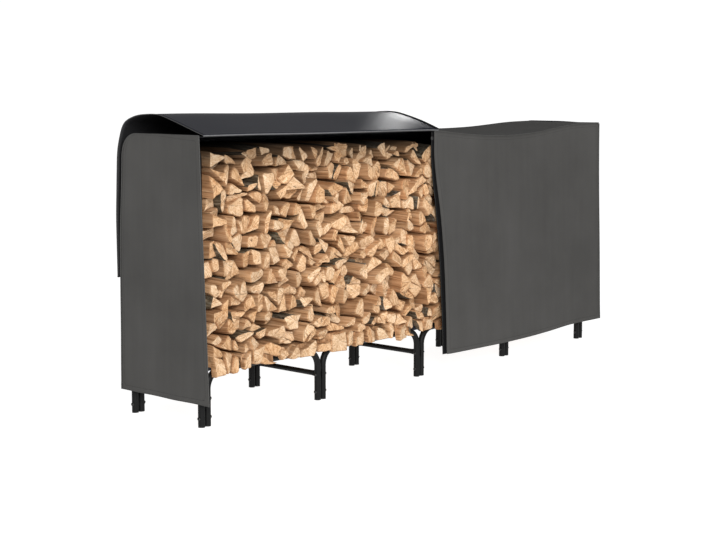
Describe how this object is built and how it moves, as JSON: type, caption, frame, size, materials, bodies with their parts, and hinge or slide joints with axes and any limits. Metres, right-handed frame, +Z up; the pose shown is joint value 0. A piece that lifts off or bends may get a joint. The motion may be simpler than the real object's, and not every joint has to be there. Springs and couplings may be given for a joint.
{
  "type": "covered firewood rack",
  "caption": "Tube-frame firewood rack with inverted-U log rails, stacked split logs and a fabric cover whose left front flap is thrown back over the roof.",
  "frame": {"origin": "on the ground, in the middle of the rack's length and depth", "axes": "+X along the rack to the right seen from the front, +Y to the back, +Z up"},
  "size_m": [2.458, 0.5072, 1.0912],
  "materials": {
    "frame_tube": "satin black",
    "foot_plug": "matte black",
    "cover_fabric": "woven grey polyester",
    "cover_lining": "coated black lining, semi-gloss",
    "zip_tape": "black woven tape",
    "log_wood": "split and sawn, dry"
  },
  "bodies": {
    "root": {"cover_back_panel": "cover_fabric", "cover_front_flap_left": "cover_lining", "cover_front_flap_right": "cover_fabric", "cover_left_end_panel": "cover_fabric", "cover_right_end_panel": "cover_fabric", "cover_roof_left": "cover_fabric", "cover_roof_right": "cover_fabric", "cross_bar_1": "frame_tube", "cross_bar_2": "frame_tube", "cross_bar_3": "frame_tube", "cross_bar_4": "frame_tube", "cross_bar_5": "frame_tube", "firewood_bay_1_lower": "log_wood", "firewood_bay_1_upper": "log_wood", "firewood_bay_2_lower": "log_wood", "firewood_bay_2_upper": "log_wood", "firewood_bay_3_lower": "log_wood", "firewood_bay_3_upper": "log_wood", "firewood_bay_4_lower": "log_wood", "firewood_bay_4_upper": "log_wood", "front_foot_plugs": "foot_plug", "front_rail_bay_1": "frame_tube", "front_rail_bay_2": "frame_tube", "front_rail_bay_3": "frame_tube", "front_rail_bay_4": "frame_tube", "left_end_frame": "frame_tube", "rear_foot_plugs": "foot_plug", "rear_rail_bay_1": "frame_tube", "rear_rail_bay_2": "frame_tube", "rear_rail_bay_3": "frame_tube", "rear_rail_bay_4": "frame_tube", "right_end_frame": "frame_tube", "zip_tape": "zip_tape"}
  },
  "joints": []
}
